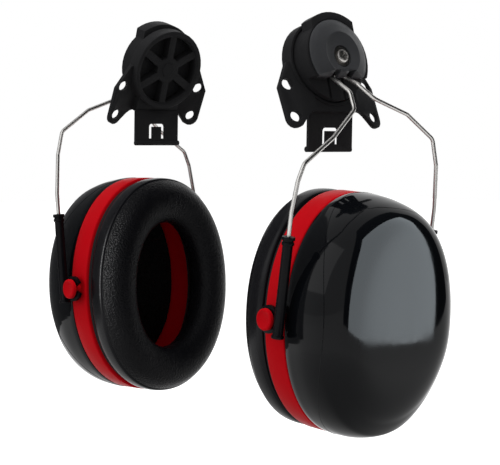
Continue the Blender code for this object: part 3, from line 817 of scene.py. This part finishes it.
REAR_LEG = [
    (8.6, -5.2, 109.4), (12.4, -5.6, 101.0), (18.6, -25.2, 87.4), (19.2, -44.0, 75.2), (18.0, -46.8, 67.0),
    on_leg(-1.0, LEG_TOP), on_leg(-1.0, LEG_END),
]
FRONT_LEG = [
    (3.2, 5.2, 113.4), (12.0, 8.4, 106.4), (15.0, 28.2, 99.0), (17.4, 44.4, 86.8), (18.0, 46.7, 73.6),
    on_leg(1.0, LEG_TOP), on_leg(1.0, LEG_END),
]
tilt = unit_frame("right").inverted() @ (pivots["right_arm_tilt"] * TO_M)
CROSS_BAR = [(tilt.x, -CROSS_HALF, tilt.z), (tilt.x, CROSS_HALF, tilt.z)]


def bent(points, radius, steps):
    """The points of a line with an arc at each corner."""
    made = [points[0]]
    for a, b, c in zip(points, points[1:], points[2:]):
        into = (b - a).normalized()
        away = (c - b).normalized()
        tangent = radius * math.tan(into.angle(away) / 2.0)
        reach = min(tangent, BEND_SHARE * (b - a).length, BEND_SHARE * (c - b).length)
        first = b - into * reach
        last = b + away * reach
        for i in range(steps + 1):
            f = i / steps
            made.append(first * (1 - f) ** 2 + b * (2 * f * (1 - f)) + last * f ** 2)
    made.append(points[-1])
    return made


print("wire corners:", len(REAR_LEG) + len(CROSS_BAR) + len(FRONT_LEG))

# %% Wire forks
WIRE_R = 1.05
WIRE_SIDES = 18


def circle_at(point, across, other, radius):
    """A circle round a point, in the plane of two directions."""
    def place(t):
        return point + (across * math.cos(t) + other * math.sin(t)) * radius
    return place


def round_bar(points, radius, sides):
    """A bar along the points: a circle carried from point to point without twist."""
    places = []
    ways = [(b - a).normalized() for a, b in zip(points, points[1:])]
    across = ways[0].orthogonal().normalized()
    for i, point in enumerate(points):
        way = (ways[max(i - 1, 0)] + ways[min(i, len(ways) - 1)]).normalized()
        across = (across - way * across.dot(way)).normalized()
        places.append(circle_at(point, across, way.cross(across), radius))
    return grown(sides, places)


for side in SIDES:
    corners = [Vector(p) for p in list(reversed(REAR_LEG)) + CROSS_BAR + FRONT_LEG]
    wire = round_bar(bent(corners, BEND_R, BEND_STEPS), WIRE_R, WIRE_SIDES)
    place_piece(side + "_spring_wire", wire, steel_wire, side + "_arm",
                (side + "_wire_fork",), unit_frame(side))
print("wire forks")

# %% [markdown]
# ## Hub mouldings, sleeves and screws
# These are moulded or pressed pieces whose engineering shape is already right. A moulding never has a knife
# edge, so each is copied, its loose triangles are welded, its flat faces are joined, and its edges get a
# small round.

# %% Rounded copies
EDGE_ANGLE = math.radians(30.0)
FLAT_ANGLE = math.radians(0.6)
NODE_WELD = 0.000004
MOULD_ROUND = 0.00030
SLEEVE_ROUND = 0.00020
METAL_ROUND = 0.00012
COPIES = [
    ("bracket", "helmet_bracket", "brackets", matte_black, "black_matte", MOULD_ROUND),
    ("swivel_housing", "hub_housing", "hub", matte_black, "black_matte", MOULD_ROUND),
    # The hub cover takes the lighter black, whose colour paints on its sheen.
    ("hub_cap", "hub_cover", "hub", painted_sheen_black, "black_matte", MOULD_ROUND),
    ("hub_washer", "pan_washer", "hub", zinc, "zinc", METAL_ROUND),
    ("hub_screw", "pan_screw", "hub", zinc, "zinc", METAL_ROUND),
    ("sleeve_rear", "wire_sleeve_rear", "carriage", satin_black, "black_satin", SLEEVE_ROUND),
    ("sleeve_front", "wire_sleeve_front", "carriage", satin_black, "black_satin", SLEEVE_ROUND),
]


def rounded_copy(node_name, radius):
    """A welded copy of a node with its sharp edges rounded."""
    bm = bmesh.new()
    bm.from_mesh(frame["nodes"][node_name].data)
    bmesh.ops.remove_doubles(bm, verts=bm.verts[:], dist=NODE_WELD)
    bmesh.ops.dissolve_limit(bm, angle_limit=FLAT_ANGLE, use_dissolve_boundaries=False,
                             verts=bm.verts[:], edges=bm.edges[:], delimit=set())
    bmesh.ops.recalc_face_normals(bm, faces=bm.faces[:])
    sharp = [e for e in bm.edges if len(e.link_faces) == 2 and e.calc_face_angle(0.0) > EDGE_ANGLE]
    bmesh.ops.bevel(bm, geom=sharp, offset=radius, offset_type="OFFSET", affect="EDGES", segments=2,
                    profile=0.5, material=-1, clamp_overlap=True, harden_normals=False)
    return bm


for side in SIDES:
    for node_name, name, body, look, slot, radius in COPIES:
        if body != "brackets":
            body = side + "_" + body
        copy = rounded_copy(side + "_" + node_name, radius)
        place_piece(side + "_" + name, copy, look, body, (side + "_" + node_name,))
print("rounded copies:", 2 * len(COPIES))
